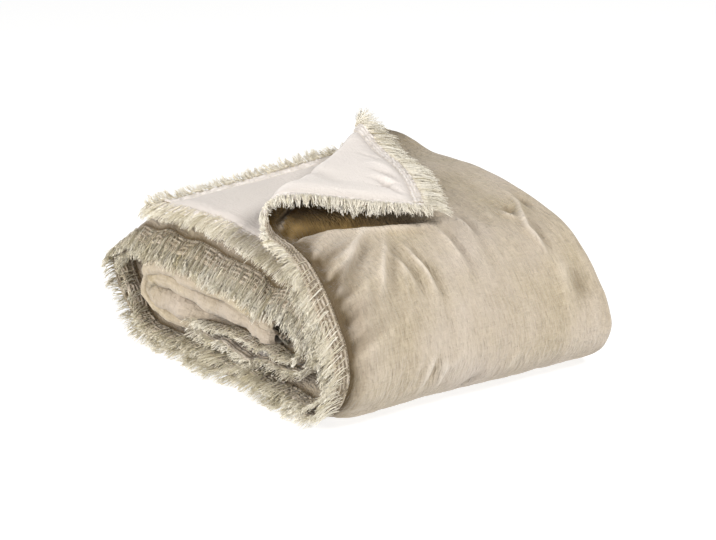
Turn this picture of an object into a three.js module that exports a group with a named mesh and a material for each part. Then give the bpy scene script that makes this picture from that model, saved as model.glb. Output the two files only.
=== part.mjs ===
// A padded comforter with fringed edges, folded once across its width, rolled up loosely
// and lying on its side, with one corner of the top half turned back.
// Millimetres, +Z up. X runs along the roll, from the open fringed end to the folded end.
// Y runs across the roll, towards the free end of the top layer. The floor is at Z = 0.
import * as THREE from "three";

// The comforter's own sizes.
const HALF_WIDTH = 425; // from the middle fold to a long edge
const LENGTH = 2140; // from the free end on top to the end inside the roll
const LAYER_GAP = 5.4; // air between the two halves of a folded layer
const RIM_THICK = 5; // thickness at the sewn edge
const RIM_WIDTH = 30; // band along the edge where the padding thins out

// How the roll lies.
const NEAR_X = -198.27; // the open end's edge
const ROLL_Y = -16.23; // sideways place of the roll's section
const SKEW_SLOPE = 0.11; // sideways drift of the roll, for each millimetre along it
const FAR_SAG = 0.118; // share of its height that the roll loses at the folded end
const FRONT_SAG = 0.11; // the same, added on the front bulge
const TOP_RISE = 0.05; // share of it that the back of the top keeps
const FLAP_RISE = 0.115; // share of its height that the flap's free end gains there
const FRONT_SPREAD = [130, 230]; // where the front bulge's share grows, from the middle
const TOP_SPREAD = [-100, 70]; // the same for the top's share
const FLAP_SPREAD = [120, 240]; // the same for the flap's share
const SAG_START = 0.1; // where these changes begin, as a share of the roll's length

// The corner that is turned back: where its crease meets the two edges, and its roundness.
const CREASE_ON_SIDE = 266; // from the corner along the open end's edge
const CREASE_ON_END = 411; // from the corner along the free end
const CREASE_RADIUS = 10.5; // middle of the padding, around the middle of the crease
const CREASE_LOOSE = 18; // the same at the crease's two ends, where the cloth stands up
const LAID_HEIGHT = 24; // height at which the turned corner settles over the layer below
const SETTLING = 130; // length over which it settles
const TIP_HANG = 9; // how far its tip bends down

// The fringe: a narrow strip along an edge, with locks of threads.
const EDGE_GAP = 0.95; // between the strip and the cloth's edge
const TURNED_GAP = 1.56; // the same on the turned corner's end, which the crease twists
const FRINGE_STRIP = 3.6; // outer side of the strip, from the cloth's edge
const FRINGE_KNEE = 0.45; // where a lock bends, as a share of its length
const FRINGE_LENGTH = 23; // where a lock ends
const FRINGE_THICK = 3.2; // a lock's thickness at its root
const FRINGE_TIP = 0.5; // a tip's share of the root's breadth and thickness
const SIDE_DROOP = 11; // how far a tip hangs below the cloth's own direction, on the long edges
const END_DROOP = -4; // the same on the free end, whose fringe stands up a little
const TURNED_DROOP = 5; // the same on the turned corner, which lies on the cloth
const LOCK_SHARE = 0.56; // a lock's breadth, as a share of the spacing
const LOCK_SPACING = 22; // from one lock to the next, about
const LEAN_SHARE = 0.18; // how far a lock leans to one side, as a share of the spacing
const LEAN_BEAT = 2.4; // how the lean changes from lock to lock, in radians
const LENGTH_CHANGE = 0.12; // how much the locks differ in length
const LENGTH_BEAT = 5.1; // how the length changes from lock to lock, in radians
const END_INSET = 6; // a fringe stops short of the corner by this much
const STRAIGHT_EDGE = 0.5; // least cosine of the edge's turning across a lock

// The rolled layer's middle line across the roll, from the free end on top to the core.
// half: half the thickness of the folded layer. out: how far its edge stands out of the end.
const SECTION = [
  { y: 242, z: 190, half: 14, out: 0 },
  { y: 192, z: 195, half: 15, out: 0 },
  { y: 116, z: 198, half: 18, out: 0 },
  { y: 35, z: 198, half: 20, out: 0 },
  { y: -42, z: 193, half: 22, out: 0 },
  { y: -106, z: 179, half: 21, out: 0 },
  { y: -162, z: 153, half: 19, out: 2 },
  { y: -203, z: 114, half: 18, out: 5 },
  { y: -223, z: 76, half: 17.5, out: 10 },
  { y: -218, z: 44, half: 17.5, out: 15 },
  { y: -186, z: 22, half: 17.5, out: 18 },
  { y: -95, z: 17, half: 17.5, out: 14 },
  { y: 30, z: 17, half: 17.5, out: 9 },
  { y: 140, z: 17.3, half: 17.5, out: 5 },
  { y: 208, z: 26, half: 17, out: 3 },
  { y: 246, z: 50, half: 17, out: 3 },
  { y: 256, z: 82, half: 17, out: 4 },
  { y: 243, z: 114, half: 17, out: 4 },
  { y: 204, z: 137, half: 17, out: 2 },
  { y: 145, z: 148, half: 17.5, out: 0 },
  { y: 72, z: 150, half: 17.5, out: -2 },
  { y: -5, z: 144, half: 17.5, out: -3 },
  { y: -66, z: 132, half: 17, out: -3 },
  { y: -106, z: 120, half: 16, out: -3 },
  { y: -129, z: 109, half: 15.5, out: -3 },
  { y: -144, z: 96, half: 15.5, out: -3 },
  { y: -148, z: 81, half: 15.5, out: -3 },
  { y: -141, z: 65, half: 15.5, out: -3 },
  { y: -125, z: 55.5, half: 15.5, out: -3 },
  { y: -98, z: 53, half: 16, out: -3 },
  { y: -30, z: 53, half: 16, out: -3 },
  { y: 50, z: 53, half: 16, out: -4 },
  { y: 134, z: 53.5, half: 15.5, out: -6 },
  { y: 177, z: 55, half: 15, out: -7 },
  { y: 195, z: 63, half: 14.5, out: -8 },
  { y: 203, z: 77, half: 14.5, out: -9 },
  { y: 200, z: 92.5, half: 14.5, out: -9 },
  { y: 188, z: 104, half: 14.5, out: -10 },
  { y: 170, z: 109, half: 15, out: -10 },
  { y: 136, z: 109, half: 16, out: -11 },
  { y: 80, z: 104, half: 18, out: -13 },
  { y: 20, z: 99, half: 18, out: -14 },
  { y: -30, z: 93, half: 17, out: -15 },
  { y: -84, z: 87, half: 14, out: -15 },
];

const FINISH = {
  cloth: { color: 0xc9b79c, roughness: 0.92, metalness: 0 },
  fringe: { color: 0xd6cab2, roughness: 0.95, metalness: 0 },
};

const smooth = THREE.MathUtils.smoothstep;
const mix = THREE.MathUtils.lerp;

// The section as a curve, with the length along it at each row of the table.
const CURVE_STEPS = 60; // samples between two rows
const sectionLine = new THREE.CatmullRomCurve3(
  SECTION.map((row) => new THREE.Vector3(0, row.y, row.z)),
  false,
  "centripetal",
);
sectionLine.arcLengthDivisions = CURVE_STEPS * (SECTION.length - 1);
const sectionLength = sectionLine.getLength();
const rowPlaces = sectionLine.getLengths().filter((_, i) => i % CURVE_STEPS === 0);

// A column of the table at a place along the section.
function column(name, along) {
  const next = rowPlaces.findIndex((place) => place >= along);
  if (next === 0) return SECTION[0][name];
  if (next < 0) return SECTION.at(-1)[name];
  const t = smooth(along, rowPlaces[next - 1], rowPlaces[next]);
  return mix(SECTION[next - 1][name], SECTION[next][name], t);
}

// The folded layer at a place along the section: its middle, and the way out of the roll.
function layerAt(along) {
  const inside = THREE.MathUtils.clamp(along, 0, sectionLength);
  const middle = sectionLine.getPointAt(inside / sectionLength);
  const tangent = sectionLine.getTangentAt(inside / sectionLength);
  middle.addScaledVector(tangent, along - inside);
  return {
    middle,
    outward: new THREE.Vector3(0, tangent.z, -tangent.y),
    half: column("half", along),
    out: column("out", along),
  };
}

// The padding's share of its full thickness, at a distance from a sewn edge.
function rimShare(inset) {
  return Math.sin((Math.PI / 2) * THREE.MathUtils.clamp(inset / RIM_WIDTH, 0, 1));
}

// How high the roll stands at a place, as a share of its section's height.
function heightShare(x, y) {
  const far = smooth((x - NEAR_X) / HALF_WIDTH, SAG_START, 1);
  const rise = TOP_RISE * smooth(y, ...TOP_SPREAD) + FLAP_RISE * smooth(y, ...FLAP_SPREAD);
  const front = FRONT_SAG * smooth(-y, ...FRONT_SPREAD);
  return 1 + far * (rise - front - FAR_SAG);
}

// Where a point of the cloth's middle surface lies before the corner is turned back.
// length: from the free end. width: from the middle fold, below 0 on the outer half.
function rolledPoint(length, width) {
  const across = Math.abs(width);
  const side = width < 0 ? 1 : -1;
  const layer = layerAt(length + across * SKEW_SLOPE);
  const offset = layer.half / 2 + LAYER_GAP / 4;
  const bend = (Math.PI / 2) * offset;
  const foldX = NEAR_X - layer.out + HALF_WIDTH - bend;
  let x = foldX - (across - bend);
  let lift = mix((RIM_THICK + LAYER_GAP) / 2, offset, rimShare(HALF_WIDTH - across));
  if (across < bend) {
    x = foldX + offset * Math.cos(across / offset);
    lift = offset * Math.sin(across / offset);
  }
  const point = layer.middle.clone().addScaledVector(layer.outward, side * lift);
  point.z *= heightShare(x, point.y);
  point.y += ROLL_Y;
  point.x = x;
  return point;
}

// The unit normal of a surface given by a function, on the cloth's right side.
const PROBE = 0.5;
function normalOf(surface, length, width) {
  const along = surface(length + PROBE, width).sub(surface(length - PROBE, width));
  const across = surface(length, width + PROBE).sub(surface(length, width - PROBE));
  return along.cross(across).normalize();
}

// How far a point of the cloth lies past the crease, towards the corner.
const creaseReach = 1 / Math.hypot(1 / CREASE_ON_SIDE, 1 / CREASE_ON_END);
function pastCrease(length, width) {
  if (width >= 0) return -1;
  const share = length / CREASE_ON_SIDE + (width + HALF_WIDTH) / CREASE_ON_END;
  return (1 - share) * creaseReach;
}

// Where a point of the cloth's middle surface lies, with the corner turned back.
// The corner goes round the crease and then runs straight back over the layer below.
function clothPoint(length, width) {
  const past = pastCrease(length, width);
  if (past <= 0) return rolledPoint(length, width);
  const toLength = creaseReach / CREASE_ON_SIDE;
  const toWidth = creaseReach / CREASE_ON_END;
  const foot = [length + toLength * past, width + toWidth * past];
  const base = rolledPoint(...foot);
  const up = normalOf(rolledPoint, ...foot);
  const away = rolledPoint(foot[0] + toLength * PROBE, foot[1] + toWidth * PROBE);
  away.sub(rolledPoint(foot[0] - toLength * PROBE, foot[1] - toWidth * PROBE)).normalize();
  const along = (foot[1] + HALF_WIDTH) / CREASE_ON_END;
  const radius = mix(CREASE_RADIUS, CREASE_LOOSE, Math.min((2 * along - 1) ** 2, 1));
  const turn = Math.min(past / radius, Math.PI);
  const back = past - radius * turn;
  const settled = mix(2 * radius, LAID_HEIGHT, smooth(back, 0, SETTLING));
  const hang = TIP_HANG * (back / creaseReach) ** 2;
  const height = turn < Math.PI ? radius * (1 - Math.cos(turn)) : settled - hang;
  base.addScaledVector(away, back - radius * Math.sin(turn));
  return base.addScaledVector(up, height);
}

// The padding's thickness: full inside, less where the roll is lower, thin along the sewn edges.
function thicknessAt(length, width) {
  const layer = layerAt(length + Math.abs(width) * SKEW_SLOPE);
  const place = rolledPoint(length, width);
  const pressed = Math.min(heightShare(place.x, place.y - ROLL_Y), 1);
  const full = (layer.half - LAYER_GAP / 2) * pressed;
  const inset = Math.min(HALF_WIDTH - Math.abs(width), length, LENGTH - length);
  return mix(RIM_THICK * pressed, full, rimShare(inset));
}

// A point of the front face (side 1) or the back face (side -1), kept above the floor.
function facePoint(length, width, side) {
  const point = clothPoint(length, width);
  const normal = normalOf(clothPoint, length, width);
  point.addScaledVector(normal, (side * thicknessAt(length, width)) / 2);
  point.z = Math.max(point.z, 0);
  return point;
}

// A closed solid from a triangulated surface that has a front and a back point at each vertex.
function thickened(fronts, backs, triangles) {
  const count = fronts.length;
  const faces = [];
  const open = new Map();
  for (const [a, b, c] of triangles) {
    faces.push(a, b, c, c + count, b + count, a + count);
    for (const [from, to] of [[a, b], [b, c], [c, a]]) {
      if (!open.delete(to + "_" + from)) open.set(from + "_" + to, [from, to]);
    }
  }
  for (const [from, to] of open.values()) {
    faces.push(from, from + count, to + count, from, to + count, to);
  }
  const points = [...fronts, ...backs];
  const geometry = new THREE.BufferGeometry().setFromPoints(points);
  geometry.setIndex(faces);
  geometry.computeVertexNormals();
  return geometry;
}

// Places along the length: close together where the section bends, further apart where it is straight.
const LENGTH_STEP = 60; // longest step
const BEND_STEP = 0.48; // most turning in a step, in radians
const RIM_ROW = 0.25; // where the rim has a row of its own, as a share of its width
function lengthPlaces() {
  const probe = 4;
  const shift = (HALF_WIDTH / 2) * SKEW_SLOPE;
  const tangentAt = (length) =>
    sectionLine.getTangentAt(Math.min((length + shift) / sectionLength, 1));
  const rim = [0, RIM_WIDTH * RIM_ROW, RIM_WIDTH];
  const places = [...rim];
  let last = RIM_WIDTH;
  for (let length = RIM_WIDTH; length < LENGTH - RIM_WIDTH; length += probe) {
    const turned = tangentAt(length).angleTo(tangentAt(last));
    if (length - last >= LENGTH_STEP || turned >= BEND_STEP) {
      places.push(length);
      last = length;
    }
  }
  return [...places, ...rim.map((inset) => LENGTH - inset).reverse()];
}

// Places across one half, from its edge to where the middle fold begins, and round that fold.
const FOLD_STEPS = 5;
const FOLD_REACH = 12.5; // the middle fold's reach to each side
const INSETS = [0, 8, RIM_WIDTH, 160, 300]; // from an edge
function widthPlaces() {
  const outer = [...INSETS, CREASE_ON_END].map((inset) => inset - HALF_WIDTH);
  const inner = INSETS.map((inset) => HALF_WIDTH - inset).reverse();
  const fold = [];
  for (let i = 0; i <= FOLD_STEPS; i++) fold.push(mix(-FOLD_REACH, FOLD_REACH, i / FOLD_STEPS));
  return [...outer, ...fold, ...inner];
}

// The cloth as a triangulated sheet, each vertex with its length and width.
const CORNER_ROWS = 11; // rows of the turned corner, side by side with the crease
const BEND_ROWS = 6; // those of them that go round the crease
const CREASE_EASE = 260; // length over which the sheet's lines turn from the crease's direction
function clothSheet() {
  const lengths = lengthPlaces();
  const widths = widthPlaces();
  const vertices = [];
  const triangles = [];
  const vertex = (length, width) => vertices.push([length, width]) - 1;
  const quad = (a, b, c, d) => triangles.push([a, b, c], [a, c, d]);

  // On the turned corner's side the lines start at the crease.
  const start = (width) => {
    const share = 1 - (width + HALF_WIDTH) / CREASE_ON_END;
    return width < 0 ? CREASE_ON_SIDE * Math.max(share, 0) : 0;
  };
  const ease = CREASE_ON_SIDE + CREASE_EASE;
  const grid = lengths.map((length) =>
    widths.map((width) => {
      const kept = Math.max(1 - length / ease, 0);
      return vertex(length + start(width) * kept, width);
    }),
  );
  for (let i = 0; i + 1 < lengths.length; i++) {
    for (let j = 0; j + 1 < widths.length; j++) {
      quad(grid[i][j], grid[i + 1][j], grid[i + 1][j + 1], grid[i][j + 1]);
    }
  }

  // The turned corner: rows that shrink from the crease to the corner's tip.
  const crease = widths.filter((width) => width <= CREASE_ON_END - HALF_WIDTH);
  const tip = vertex(0, -HALF_WIDTH);
  const bendShare = (Math.PI * CREASE_LOOSE) / creaseReach;
  let inner = crease.map((_, j) => grid[0][j]);
  for (let row = 1; row < CORNER_ROWS; row++) {
    const left = (row - BEND_ROWS) / (CORNER_ROWS - BEND_ROWS);
    const share = row <= BEND_ROWS ? (bendShare * row) / BEND_ROWS : mix(bendShare, 1, left);
    const outer = crease.map((width) => {
      const across = (width + HALF_WIDTH) * (1 - share);
      return vertex(start(width) * (1 - share), across - HALF_WIDTH);
    });
    for (let j = 0; j + 1 < crease.length; j++) {
      quad(outer[j], inner[j], inner[j + 1], outer[j + 1]);
    }
    inner = outer;
  }
  for (let j = 0; j + 1 < crease.length; j++) triangles.push([tip, inner[j], inner[j + 1]]);
  return { vertices, triangles };
}

// The comforter: the whole cloth with its padding, as one solid.
function comforter({ vertices, triangles }) {
  const fronts = vertices.map(([length, width]) => facePoint(length, width, 1));
  const backs = vertices.map(([length, width]) => facePoint(length, width, -1));
  return thickened(fronts, backs, triangles);
}

// A fringe: its strip and its locks, along an edge of the cloth.
// places: the cloth's own vertices along that edge, in order.
// edge(place, past): the cloth's length and width, so far past the edge.
// gap: between the strip and the cloth's edge. droop: how far a tip hangs down.
function fringe(places, edge, gap, droop) {
  const marks = places.map((place) => Math.abs(place - places[0]));
  const span = marks.at(-1) - 2 * END_INSET;
  const locks = Math.round(span / LOCK_SPACING);
  const spacing = span / locks;
  const fronts = [];
  const backs = [];
  const triangles = [];
  const quad = (a, b, c, d) => triangles.push([a, b, c], [a, c, d]);

  // A place along the edge and past it: its point, hanging down, and the cloth's normal there.
  function hanging(along, past) {
    const at = END_INSET + along;
    const next = Math.max(marks.findIndex((mark) => mark >= at), 1);
    const t = (at - marks[next - 1]) / (marks[next] - marks[next - 1]);
    const ends = [next - 1, next].map((k) => edge(places[k], past));
    const points = ends.map((end) => clothPoint(...end));
    const normals = ends.map((end) => normalOf(clothPoint, ...end));
    const hang = Math.max(past - FRINGE_STRIP, 0) / (FRINGE_LENGTH - FRINGE_STRIP);
    const point = points[0].lerp(points[1], t);
    point.z -= droop * hang * hang;
    return { point, normal: normals[0].lerp(normals[1], t).normalize() };
  }

  // One vertex of the surface, above the floor by half the thickness there.
  function vertex(point, normal, thick) {
    const middle = point.clone();
    middle.z = Math.max(middle.z, thick / 2);
    fronts.push(middle.clone().addScaledVector(normal, thick / 2));
    backs.push(middle.clone().addScaledVector(normal, -thick / 2));
    return fronts.length - 1;
  }
  const stripVertex = (along, past) => {
    const { point, normal } = hanging(along, past);
    return vertex(point, normal, FRINGE_THICK);
  };

  // The strip, with a column at each side of each lock.
  const columns = [0];
  for (let i = 0; i < locks; i++) {
    columns.push((i + 0.5 - LOCK_SHARE / 2) * spacing, (i + 0.5 + LOCK_SHARE / 2) * spacing);
  }
  columns.push(span);
  const inner = columns.map((along) => stripVertex(along, gap));
  const outer = columns.map((along) => stripVertex(along, FRINGE_STRIP));
  for (let k = 0; k + 1 < columns.length; k++) {
    quad(outer[k], outer[k + 1], inner[k + 1], inner[k]);
  }

  // The locks grow where the edge is not bent sharply.
  // Each one bends once, leans a little to one side and has its own length.
  for (let i = 0; i < locks; i++) {
    const middle = (i + 0.5) * spacing;
    const facing = [-0.5, 0.5].map((side) => hanging(middle + side * LOCK_SHARE * spacing, gap).normal);
    if (facing[0].dot(facing[1]) < STRAIGHT_EDGE) continue;
    const sideways = hanging(middle + 1, FRINGE_STRIP).point;
    sideways.sub(hanging(middle - 1, FRINGE_STRIP).point).normalize();
    const lean = LEAN_SHARE * spacing * Math.sin(LEAN_BEAT * i);
    const reach = FRINGE_LENGTH * (1 + LENGTH_CHANGE * Math.sin(LENGTH_BEAT * i));
    let roots = [outer[2 * i + 1], outer[2 * i + 2]];
    for (const share of [FRINGE_KNEE, 1]) {
      const { point, normal } = hanging(middle, mix(FRINGE_STRIP, reach, share));
      const shrink = mix(1, FRINGE_TIP, share);
      const tips = [-1, 1].map((side) => {
        const shift = (side * shrink * LOCK_SHARE * spacing) / 2 + lean * share;
        return vertex(point.clone().addScaledVector(sideways, shift), normal, FRINGE_THICK * shrink);
      });
      quad(tips[0], tips[1], roots[1], roots[0]);
      roots = tips;
    }
  }
  return thickened(fronts, backs, triangles);
}

// The fringed edges that show. Each long edge and the free end is one line of fringe,
// parted at the crease where the corner turns back.
const cloth = clothSheet();
const edgePlaces = (test, pick) => cloth.vertices.filter(test).map(pick).sort((a, b) => a - b);
const outerPlaces = edgePlaces(([, width]) => width === -HALF_WIDTH, ([length]) => length);
const innerPlaces = edgePlaces(([, width]) => width === HALF_WIDTH, ([length]) => length);
const endPlaces = edgePlaces(([length]) => length === 0, ([, width]) => width);
const creaseEnd = CREASE_ON_END - HALF_WIDTH;
const FRINGES = [
  {
    name: "fringe_outer_side",
    places: outerPlaces.filter((length) => length >= CREASE_ON_SIDE),
    edge: (place, past) => [place, -HALF_WIDTH - past],
    gap: EDGE_GAP,
    droop: SIDE_DROOP,
  },
  {
    name: "fringe_corner_side",
    places: outerPlaces.filter((length) => length <= CREASE_ON_SIDE),
    edge: (place, past) => [place, -HALF_WIDTH - past],
    gap: EDGE_GAP,
    droop: TURNED_DROOP,
  },
  {
    name: "fringe_inner_side",
    places: innerPlaces.reverse(),
    edge: (place, past) => [place, HALF_WIDTH + past],
    gap: EDGE_GAP,
    droop: SIDE_DROOP,
  },
  {
    name: "fringe_free_end",
    places: endPlaces.filter((width) => width >= creaseEnd).reverse(),
    edge: (place, past) => [-past, place],
    gap: EDGE_GAP,
    droop: END_DROOP,
  },
  {
    name: "fringe_corner_end",
    places: endPlaces.filter((width) => width <= creaseEnd).reverse(),
    edge: (place, past) => [-past, place],
    gap: TURNED_GAP,
    droop: TURNED_DROOP,
  },
];

const part = new THREE.Group();

function add(name, geometry, finish) {
  const mesh = new THREE.Mesh(geometry, new THREE.MeshStandardMaterial(finish));
  mesh.name = name;
  part.add(mesh);
}

add("comforter", comforter(cloth), FINISH.cloth);
for (const { name, places, edge, gap, droop } of FRINGES) {
  add(name, fringe(places, edge, gap, droop), FINISH.fringe);
}

export default part;
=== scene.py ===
import math

import bpy
import numpy as np
from mathutils import Matrix, Vector


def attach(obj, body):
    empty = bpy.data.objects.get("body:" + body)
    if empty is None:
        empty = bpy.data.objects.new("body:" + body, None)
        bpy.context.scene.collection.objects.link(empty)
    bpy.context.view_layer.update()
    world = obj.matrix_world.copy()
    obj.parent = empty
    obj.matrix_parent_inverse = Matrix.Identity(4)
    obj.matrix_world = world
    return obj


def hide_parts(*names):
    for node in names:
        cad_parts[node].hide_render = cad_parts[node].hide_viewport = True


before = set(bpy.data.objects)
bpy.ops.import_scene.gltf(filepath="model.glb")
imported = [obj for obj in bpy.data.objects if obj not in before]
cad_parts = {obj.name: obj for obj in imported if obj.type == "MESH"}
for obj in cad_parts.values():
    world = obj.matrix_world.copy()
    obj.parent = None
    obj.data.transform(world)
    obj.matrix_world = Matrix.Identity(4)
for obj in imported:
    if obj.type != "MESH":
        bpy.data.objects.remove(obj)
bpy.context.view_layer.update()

# A padded comforter with fringed edges, folded once across its width, rolled up loosely and
# lying on its side, with one corner of the top half turned back.
# Lengths are in millimetres and meshes in metres. A place on the cloth is given by its length,
# from the free end on top, and its width, from the middle fold, below 0 on the outer half.
MM = 0.001

# The comforter's own sizes, as in the part.
HALF_WIDTH = 425.0
LENGTH = 2140.0
LAYER_GAP = 5.4  # air between the two halves of a folded layer

# How the roll lies.
NEAR_X = -198.27  # the open end's edge
ROLL_Y = -16.23  # sideways place of the roll's section
SKEW_SLOPE = 0.11  # sideways drift of the roll, for each millimetre along it
FAR_SAG = 0.118  # share of its height that the roll loses at the folded end
FRONT_SAG = 0.11  # the same, added on the front bulge
TOP_RISE = 0.05  # share of it that the back of the top keeps
FLAP_RISE = 0.115  # share of its height that the flap's free end gains there
FRONT_SPREAD = 130.0, 230.0  # where the front bulge's share grows, from the middle
TOP_SPREAD = -100.0, 70.0  # the same for the top's share
FLAP_SPREAD = 120.0, 240.0  # the same for the flap's share
SAG_START = 0.1  # where these changes begin, as a share of the roll's length

# The turned-back corner: where its crease meets the two edges, and its roundness.
CREASE_ON_SIDE = 266.0
CREASE_ON_END = 411.0
CREASE_RADIUS = 10.5  # in the middle of the crease
CREASE_LOOSE = 18.0  # the same at both of its ends
CREASE_REACH = 1.0 / math.hypot(1.0 / CREASE_ON_SIDE, 1.0 / CREASE_ON_END)  # from it to the tip
TO_LENGTH = CREASE_REACH / CREASE_ON_SIDE  # change of length for each millimetre off the crease
TO_WIDTH = CREASE_REACH / CREASE_ON_END  # the same for the width
LAID_HEIGHT = 24.0  # of the turned cloth over the layer below, middle to middle
SETTLING = 130.0  # from the crease, where it has come to that height
TIP_HANG = 14.0  # how much lower the tip hangs
TIP_PULL = 20.0  # how far the tip is drawn back along its fringed side
TIP_PULL_START = 0.35  # share of the way to the tip where this begins
CURL = 5.0  # how much rounder the crease is at the open end
CURL_END = 0.4  # share of the crease where this ends
CORNER_LIFT = 4.0  # how much higher the corner's fringed side stands
CORNER_LIFT_EASE = 70.0  # from that side, over which this fades
CORNER_LIFT_END = 60.0  # from the crease, where it starts to come down to the tip

# The rolled layer's middle line across the roll, from the free end on top to the core:
# y, z, half the thickness of the folded layer, how far its edge stands out of the end.
SECTION = (
    (242, 190, 14, 0),
    (192, 195, 15, 0),
    (116, 198, 18, 0),
    (35, 198, 20, 0),
    (-42, 193, 22, 0),
    (-106, 179, 21, 0),
    (-162, 153, 19, 2),
    (-203, 114, 18, 5),
    (-223, 76, 17.5, 10),
    (-218, 44, 17.5, 15),
    (-186, 22, 17.5, 18),
    (-95, 17, 17.5, 14),
    (30, 17, 17.5, 9),
    (140, 17.3, 17.5, 5),
    (208, 26, 17, 3),
    (246, 50, 17, 3),
    (256, 82, 17, 4),
    (243, 114, 17, 4),
    (204, 137, 17, 2),
    (145, 148, 17.5, 0),
    (72, 150, 17.5, -2),
    (-5, 144, 17.5, -3),
    (-66, 132, 17, -3),
    (-106, 120, 16, -3),
    (-129, 109, 15.5, -3),
    (-144, 96, 15.5, -3),
    (-148, 81, 15.5, -3),
    (-141, 65, 15.5, -3),
    (-125, 55.5, 15.5, -3),
    (-98, 53, 16, -3),
    (-30, 53, 16, -3),
    (50, 53, 16, -4),
    (134, 53.5, 15.5, -6),
    (177, 55, 15, -7),
    (195, 63, 14.5, -8),
    (203, 77, 14.5, -9),
    (200, 92.5, 14.5, -9),
    (188, 104, 14.5, -10),
    (170, 109, 15, -10),
    (136, 109, 16, -11),
    (80, 104, 18, -13),
    (20, 99, 18, -14),
    (-30, 93, 17, -15),
    (-84, 87, 14, -15),
)
SPAN_STEPS = 60  # samples of the line between two rows

# The border: a thin flange along the fringed edges, with rows of stitches and ribs between them.
FLANGE = 23.0  # its breadth
FLANGE_THICK = 3.2
HEM_THIN = 0.6  # share of its thickness at the edge
HEM_BREADTH = 3.0  # from the edge, where it is full
JOIN_THIN = 0.4  # share of it where the border and the padding run into each other
JOIN_BREADTH = 2.0  # breadth of this, outside the seam
BORDER_OVERLAP = 1.0  # how far the border runs in past the seam
BORDER_STEP = 2.5
BORDER_COLUMNS = 24
PAD_RISE = 38.0  # breadth over which the padding swells to its full thickness
LIFT_RISE = 34.0  # breadth over which the two halves part to their full distance
STITCH_ROWS = (5.0, 10.0, 15.0, 20.0)  # from the edge
RIB_HEIGHT = 2.1
RIB_SWELL = 0.6, 0.7  # mean height of the puckers, and how much it changes, as shares of that
PUCKER = 4.6  # length of one pucker along a rib
NOTCH_PITCH = 5.5  # about half the distance of the notches across the ribs
NOTCH_SLANT = 12.0  # breadth of the border over which a notch wanders
NOTCH_SPREAD = 0.2, 0.6  # noise between which a notch begins and is full
NOTCH_DEPTH = 0.8  # share of a rib's height that it takes away
NOTCH_SHADE = 0.7  # its painted shade, as a share of a seam's painted shade
NOTCH_MARGIN = 2.0  # from the edge, where it begins
PUCKER_SHADE_TONE = 0.9  # painted highlight on the puckers and painted shade between them, of 1
PUCKER_ROW_BREADTH = 5.0  # the distance of the rows of stitches
FLECK_TONE = 0.5  # how far the random flecks on them turn pale or dark
FLECK_SIZE = 2.6, 2.0  # along and across the border
STITCH_LENGTH = 2.9
STITCH_PITCH = 4.2
STITCH_THICK = 0.5
STITCH_MARGIN = 2.0  # from the end of a row to its first stitch
STITCH_RUN = np.array([-0.5, 0.0, 0.5])  # places along a stitch, as shares of its length
STITCH_ARCH = np.array([-0.35, 0.2, -0.35])  # how high it stands on the border there
STITCH_TAPER = np.array([0.6, 1.0, 0.6])  # share of its thickness there
SEAM_BREADTH = 1.3  # of the painted shade line along a row of stitches
SEAM_SPREAD = 6.0  # of the painted shade in the groove at the seam, inwards
RELIEF_SPREAD = FLANGE - 1.0, FLANGE + 8.0  # from the edge, between which the relief grows

# Painted shade and highlights that are stored with the cloth.
TROUGH_SHADE_DEPTH = 9.0  # depth over which the painted shade in a deep crease grows as dark as a seam's
TROUGH_START = 0.5  # share of that depth where this begins
RIDGE_HIGHLIGHT_HEIGHT = 4.8  # height of a ridge whose painted highlight is at its palest
CREASE_SHADE_DEPTH = 4.0  # depth of the crease whose painted shade is darkest
REVERSE_RELIEF_SHADING = 0.7  # share of this on the reverse
FLAP_LENGTH = 330.0  # length up to which the flap's reverse shows
FLAP_SHADE = 1.0  # how much painted shade dulls the reverse of the flap's lower half
FLAP_EASE = 30.0  # from the middle fold, over which this begins
COVERED_EASE = 2.0, 30.0  # from the corner's outline, between which the cloth below it gets a painted shade tint
COVERED_SPREAD = -310.0, -210.0  # widths between which this ends, towards the corner's tip
TURNED_EASE = 20.0  # past the crease, over which the corner's own front gets the painted shade tint

# Gathers that the seam draws in beside the border.
GATHER_PITCH = 9.0  # about half the distance between them
GATHER_LENGTH = 60.0  # about half of their own length
GATHER_SLANT = 0.35  # how far they lean over, for each millimetre
GATHER_HEIGHT = 4.2
GATHER_SPREAD = 34.0  # from the seam, over which they fade
PINCH_SHADE = 0.8  # their mean painted shade, as a share of a seam's
PINCH_SPREAD = 370.0, 560.0  # lengths between which this fades

# How the near edges hang and wander.
EDGE_DROOP = 21.0  # how far the edge of a top layer hangs down
EDGE_BEND = 48.0  # from the edge, where this hanging begins
EDGE_STAND = 0.45  # share of it by which the edge stands up instead, beside the crease
STAND_SPREAD = 275.0, 400.0  # lengths between which standing changes to hanging
FLAP_HANG = 0.15  # share of it by which the flap's lower half hangs
EDGE_WANDER = 70.0  # length of one wave
EDGE_SWING = 3.2  # up and down
SWING_ROW, CRUMPLE_ROW = 5.0, 7.0  # rows of the noise that moves both halves alike
EDGE_RAGGED = 5.0  # in and out
EDGE_EASE = 130.0  # from the edge, where the wandering ends
EDGE_BELLY = 15.0  # how far the outer edge stands out further on the front
BELLY_SPREAD = 300.0, 430.0, 500.0, 620.0  # lengths where that begins, is full, and ends
EDGE_SHOULDER = 9.0, 13.0  # how far the edge stands out and up at the back of the second wind
SHOULDER_SPREAD = 960.0, 1040.0, 1070.0, 1180.0
CORE_OUT = 12.0  # how far the innermost wind's edge stands out further
CORE_SPREAD = 1380.0, 1560.0  # lengths between which this grows
CRUMPLE = 4.5  # up and down and in and out, on the winds inside the roll
CRUMPLE_LENGTH = 27.0
CRUMPLE_SPREAD = 520.0, 760.0  # lengths between which it grows

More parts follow.
